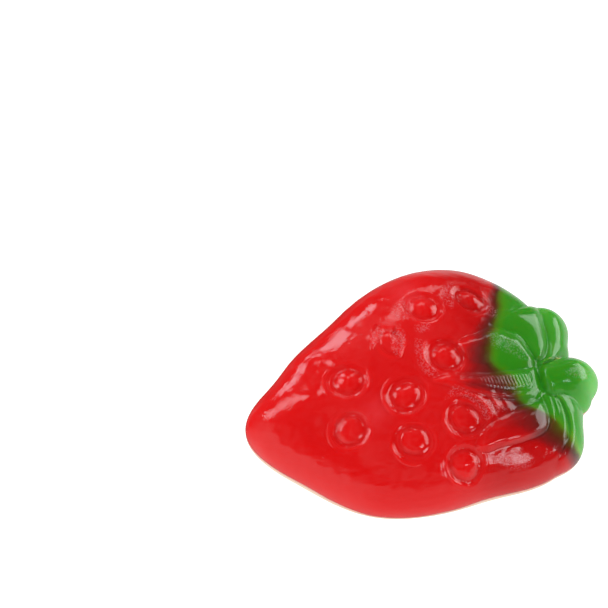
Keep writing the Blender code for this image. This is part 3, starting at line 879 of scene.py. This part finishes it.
def attribute(tree, name):
    """One of the values that the mesh carries."""
    return node(tree, "ShaderNodeAttribute", attribute_name=name).outputs["Fac"]


def noise(tree, where, scale, detail=2.0, roughness=0.5):
    inputs = {"Vector": where, "Scale": scale, "Detail": detail, "Roughness": roughness}
    return node(tree, "ShaderNodeTexNoise", inputs).outputs["Fac"]


def math_node(tree, operation, a, b=0.0, clamp=False):
    return node(tree, "ShaderNodeMath", {0: a, 1: b}, operation=operation, use_clamp=clamp).outputs[0]


def times(tree, a, b):
    return math_node(tree, "MULTIPLY", a, b)


def plus(tree, a, b, clamp=False):
    return math_node(tree, "ADD", a, b, clamp)


def range_node(tree, value, low, high, to_low=0.0, to_high=1.0):
    """The value, carried from the first range to the second and held at its ends."""
    inputs = {"Value": value, "From Min": low, "From Max": high, "To Min": to_low, "To Max": to_high}
    return node(tree, "ShaderNodeMapRange", inputs).outputs["Result"]


def ramp(tree, value, stops):
    """Colours at the given stops, blended between them."""
    made = node(tree, "ShaderNodeValToRGB", {"Fac": value})
    elements = made.color_ramp.elements
    while len(elements) < len(stops):
        elements.new(0.5)
    for element, (position, color) in zip(elements, stops):
        element.position = position
        element.color = (*color, 1)
    return made.outputs["Color"]


def mix(tree, share, a, b, blend="MIX"):
    """Two colours, each a socket or three numbers, mixed by a share."""
    a, b = (color if isinstance(color, bpy.types.NodeSocket) else (*color, 1) for color in (a, b))
    return node(tree, "ShaderNodeMix", {0: share, 6: a, 7: b}, data_type="RGBA", blend_type=blend).outputs[2]


def millimetres(tree):
    """Place on the piece in millimetres."""
    place = node(tree, "ShaderNodeTexCoord").outputs["Object"]
    return node(tree, "ShaderNodeMapping", {"Vector": place, "Scale": (1000, 1000, 1000)}).outputs["Vector"]


def bump_normal(tree, shader, height, strength, distance):
    """Gives the shader a fine relief."""
    bump = node(tree, "ShaderNodeBump", {"Height": height, "Strength": strength, "Distance": distance})
    tree.links.new(bump.outputs["Normal"], shader.inputs["Normal"])


def stripes(tree, where):
    """Fine slanted mould marks, -1 to 1, inside their patch."""
    across = node(tree, "ShaderNodeVectorMath", {0: where, 1: STRIPE_TURNS}, operation="DOT_PRODUCT")
    wobble = times(tree, noise(tree, where, STRIPE_NOISE), STRIPE_WOBBLE)
    wave = math_node(tree, "SINE", plus(tree, across.outputs["Value"], wobble))
    return times(tree, wave, attribute(tree, "marks"))


def ripples(tree, where):
    """Fine rings around the seeds, -1 to 1, which fade inward and outward."""
    ring = attribute(tree, "ring")
    wobble = times(tree, noise(tree, where, RIPPLE_NOISE), RIPPLE_WOBBLE)
    wave = math_node(tree, "SINE", plus(tree, times(tree, ring, RIPPLE_TURNS), wobble))
    near = times(tree, range_node(tree, ring, *RIPPLE_OUT), range_node(tree, ring, *RIPPLE_IN))
    return times(tree, wave, near)


def fine_height(tree, where, marks):
    """Height in mm of the fine relief: grain, specks, ripples around the seeds and mould marks."""
    patches = range_node(tree, noise(tree, where, *PATCH_NOISE), *PATCH_RANGE)
    patches = plus(tree, patches, attribute(tree, "frost_and_sheen"))
    patches = times(tree, patches, range_node(tree, attribute(tree, "crown"), *GRAIN_CROWN))
    grain = times(tree, noise(tree, where, *GRAIN_NOISE), range_node(tree, patches, 0, 2, *GRAIN_HEIGHTS))
    specks = node(tree, "ShaderNodeTexVoronoi", {"Vector": where, "Scale": SPECK_SCALE}, feature="F1")
    specks = times(tree, range_node(tree, specks.outputs["Distance"], SPECK_REACH, 0.0), SPECK_HEIGHT)
    rings = times(tree, ripples(tree, where), RIPPLE_HEIGHT)
    lines = plus(tree, rings, times(tree, marks, STRIPE_HEIGHT))
    return plus(tree, plus(tree, grain, specks), lines)


def jelly_color(tree, where, marks):
    """Red and green with the dark blend between them, deeper red, and painted glow, groove light, reflections and
    haze.
    """
    clouds = math_node(tree, "SUBTRACT", noise(tree, where, *BORDER_NOISE), 0.5)
    clouded = plus(tree, attribute(tree, "crown"), times(tree, clouds, BORDER_CLOUDS))
    place = range_node(tree, clouded, -CROWN_SPAN, CROWN_SPAN)
    color = ramp(tree, place, CROWN_COLORS)
    # Deeper red towards the crown end, and the painted glow that lightens the green
    for name, tint in (("deep", DEEP_TINT), ("painted_glow", PAINTED_GLOW_TINT)):
        tint = ramp(tree, attribute(tree, name), ((0.0, WHITE), (1.0, tint)))
        color = mix(tree, 1.0, color, tint, "MULTIPLY")
    # Painted soft reflections pale the red
    color = mix(tree, attribute(tree, "pale"), color, PAINTED_REFLECTION_RED)
    # Painted light lifts the shade in the seed grooves
    color = mix(tree, attribute(tree, "groove"), color, PAINTED_GROOVE_LIGHT, "MULTIPLY")
    # Painted speckled highlights in the frosted patches
    speckle = range_node(tree, noise(tree, where, *SPECKLE_NOISE), *SPECKLE_RANGE)
    speckle = times(tree, times(tree, speckle, attribute(tree, "frost_and_sheen")), SPECKLE_SHARE)
    # Painted sheen on the crests of the mould marks
    bright = times(tree, range_node(tree, marks, *STRIPE_BRIGHT), STRIPE_SHARE)
    # Both carry the painted highlight haze
    haze = ramp(tree, place, PAINTED_HAZE_COLORS)
    return mix(tree, plus(tree, speckle, bright, True), color, haze)


def jelly_roughness(tree, where):
    """Glossy all over, a little less so in clouds, in the frosted patches and on the crown."""
    plain = range_node(tree, noise(tree, where, *GLOSS_NOISE), *GLOSS_RANGE, *ROUGHNESS)
    rough = plus(tree, plain, times(tree, attribute(tree, "frost_and_sheen"), FROST_ROUGHNESS))
    return plus(tree, rough, range_node(tree, attribute(tree, "crown"), *CROWN_ROUGHNESS))


def jelly_material():
    """Glossy translucent jelly with frosted patches, ripples and mould marks."""
    material, tree, shader = new_material("jelly")
    where = millimetres(tree)
    marks = stripes(tree, where)
    tree.links.new(jelly_color(tree, where, marks), shader.inputs["Base Color"])
    tree.links.new(jelly_roughness(tree, where), shader.inputs["Roughness"])
    shader.inputs["Subsurface Weight"].default_value = 1.0
    shader.inputs["Subsurface Radius"].default_value = JELLY_RADIUS
    shader.inputs["Subsurface Scale"].default_value = JELLY_DEPTH
    shader.inputs["IOR"].default_value = JELLY_IOR
    bump_normal(tree, shader, fine_height(tree, where, marks), 1.0, MM)
    return material


def foam_material():
    """Matt cream foam with fine pores, into which some red has bled at the border."""
    material, tree, shader = new_material("foam")
    where = millimetres(tree)
    cloudy = ramp(tree, noise(tree, where, *CREAM_NOISE), CREAM_TONES)
    color = mix(tree, attribute(tree, "bleed"), cloudy, BLED_RED)
    tree.links.new(color, shader.inputs["Base Color"])
    shader.inputs["Subsurface Weight"].default_value = FOAM_WEIGHT
    shader.inputs["Subsurface Radius"].default_value = FOAM_RADIUS
    shader.inputs["Subsurface Scale"].default_value = FOAM_DEPTH
    shader.inputs["Roughness"].default_value = FOAM_ROUGHNESS
    bump_normal(tree, shader, noise(tree, where, *PORE_NOISE), PORE_STRENGTH, PORE_DEPTH * MM)
    return material


# Stage


def make_floor():
    """A plain pale floor, which isn't part of the piece."""
    material, tree, shader = new_material("floor")
    shader.inputs["Base Color"].default_value = (FLOOR_GREY, FLOOR_GREY, FLOOR_GREY, 1)
    shader.inputs["Roughness"].default_value = 0.9
    shader.inputs["Specular IOR Level"].default_value = 0.0
    shader.inputs["Emission Color"].default_value = (*WHITE, 1)
    shader.inputs["Emission Strength"].default_value = FLOOR_LIGHT
    bm = bmesh.new()
    bmesh.ops.create_circle(bm, cap_ends=True, segments=64, radius=FLOOR_RADIUS)
    mesh = bpy.data.meshes.new("floor")
    bm.to_mesh(mesh)
    bm.free()
    mesh.materials.append(material)
    floor = bpy.data.objects.new("floor", mesh)
    floor.location.z = -FLOOR_GAP * MM
    floor.visible_glossy = False
    bpy.context.scene.collection.objects.link(floor)


def make_light(name, azimuth, elevation, wide, high, radiance, red):
    """A soft box that only the gloss reflects, from a direction and with angular sizes, 0 being +X."""
    data = bpy.data.lights.new(name, "AREA")
    data.shape = "RECTANGLE"
    data.size = 2 * LIGHT_DISTANCE * math.tan(math.radians(wide / 2))
    data.size_y = 2 * LIGHT_DISTANCE * math.tan(math.radians(high / 2))
    data.energy = radiance * math.pi * data.size * data.size_y
    data.color = (red, 1.0, 1 + COOLER_BLUE * (1 - red))
    light = bpy.data.objects.new(name, data)
    a, e = math.radians(azimuth), math.radians(elevation)
    direction = Vector((math.cos(a) * math.cos(e), math.sin(a) * math.cos(e), math.sin(e)))
    aside = Vector((-math.sin(a), math.cos(a), 0))
    turn = Matrix((aside, direction.cross(aside), direction)).transposed().to_4x4()
    light.matrix_world = Matrix.Translation(direction * LIGHT_DISTANCE) @ turn
    light.visible_diffuse = False
    bpy.context.scene.collection.objects.link(light)


def reflected_room(tree, toward, dx, dy, dz):
    """Strength of what the gloss reflects: a pale low surround, dark behind, dim clouds and a floor glow."""
    above_edge = math_node(tree, "SUBTRACT", dz, range_node(tree, dx, *SURROUND_EDGE))
    surround = range_node(tree, above_edge, *SURROUND_FADE)
    surround = times(tree, surround, range_node(tree, math_node(tree, "ABSOLUTE", dx), *SURROUND_SIDES))
    surround = times(tree, surround, range_node(tree, dy, *SURROUND_BEHIND))
    clouds = range_node(tree, noise(tree, toward, CLOUD_SCALE), *CLOUDS)
    clouds = times(tree, clouds, range_node(tree, dx, *CLOUDS_RIGHT))
    glow = times(tree, range_node(tree, dz, *FLOOR_GLOW), range_node(tree, dx, *FLOOR_GLOW_RIGHT))
    return math_node(tree, "MAXIMUM", math_node(tree, "MAXIMUM", surround, glow), clouds)


def make_world():
    """An even fill for the piece and the floor, and another room for the gloss."""
    world = bpy.data.worlds.new("studio")
    world.use_nodes = True
    world.cycles.sampling_method = "NONE"
    bpy.context.scene.world = world
    tree = world.node_tree
    toward = node(tree, "ShaderNodeTexCoord").outputs["Generated"]
    dx, dy, dz = node(tree, "ShaderNodeSeparateXYZ", {"Vector": toward}).outputs
    fill = range_node(tree, dx, -1.0, 1.0, FILL + FILL_TIP, FILL - FILL_TIP)
    fill = plus(tree, fill, range_node(tree, dy, 0.0, 1.0, 0.0, FILL_BEHIND))
    gloss = reflected_room(tree, toward, dx, dy, dz)
    is_gloss = node(tree, "ShaderNodeLightPath").outputs["Is Glossy Ray"]
    chosen = node(tree, "ShaderNodeMix", {0: is_gloss, 2: fill, 3: gloss}, data_type="FLOAT").outputs[0]
    background = tree.nodes["Background"]
    background.inputs["Color"].default_value = (*WHITE, 1)
    tree.links.new(chosen, background.inputs["Strength"])


def make_camera():
    """The camera, placed so that the middle of the dome falls on its pixel."""
    azimuth, elevation, roll = (math.radians(a) for a in CAMERA[:3])
    distance, pixel_x, pixel_y = CAMERA[3:]
    behind = Vector((math.sin(azimuth) * math.cos(elevation), -math.cos(azimuth) * math.cos(elevation),
                     math.sin(elevation)))
    right = Vector((math.cos(azimuth), math.sin(azimuth), 0))
    up = behind.cross(right)
    right, up = (right * math.cos(roll) + up * math.sin(roll), up * math.cos(roll) - right * math.sin(roll))
    focal = IMAGE_SIZE / 2 / math.tan(math.radians(CAMERA_ANGLE / 2))
    aside = (pixel_x - IMAGE_SIZE / 2) / focal * distance
    above = (IMAGE_SIZE / 2 - pixel_y) / focal * distance
    place = behind * distance - right * aside - up * above - Vector(MIDDLE)
    data = bpy.data.cameras.new("camera")
    data.angle = math.radians(CAMERA_ANGLE)
    data.clip_start = 0.01
    camera = bpy.data.objects.new("camera", data)
    camera.matrix_world = Matrix.Translation(place * MM) @ Matrix((right, up, behind)).transposed().to_4x4()
    bpy.context.scene.collection.objects.link(camera)
    bpy.context.scene.camera = camera


def main():
    jelly = make_jelly()
    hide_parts("red_jelly", "green_cap")
    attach(jelly, "root")
    foam = make_foam()
    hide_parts("foam_back")
    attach(foam, "root")

    make_floor()
    for light in LIGHTS:
        make_light(*light)
    make_world()
    make_camera()
    bpy.context.scene.view_settings.view_transform = "Standard"


main()
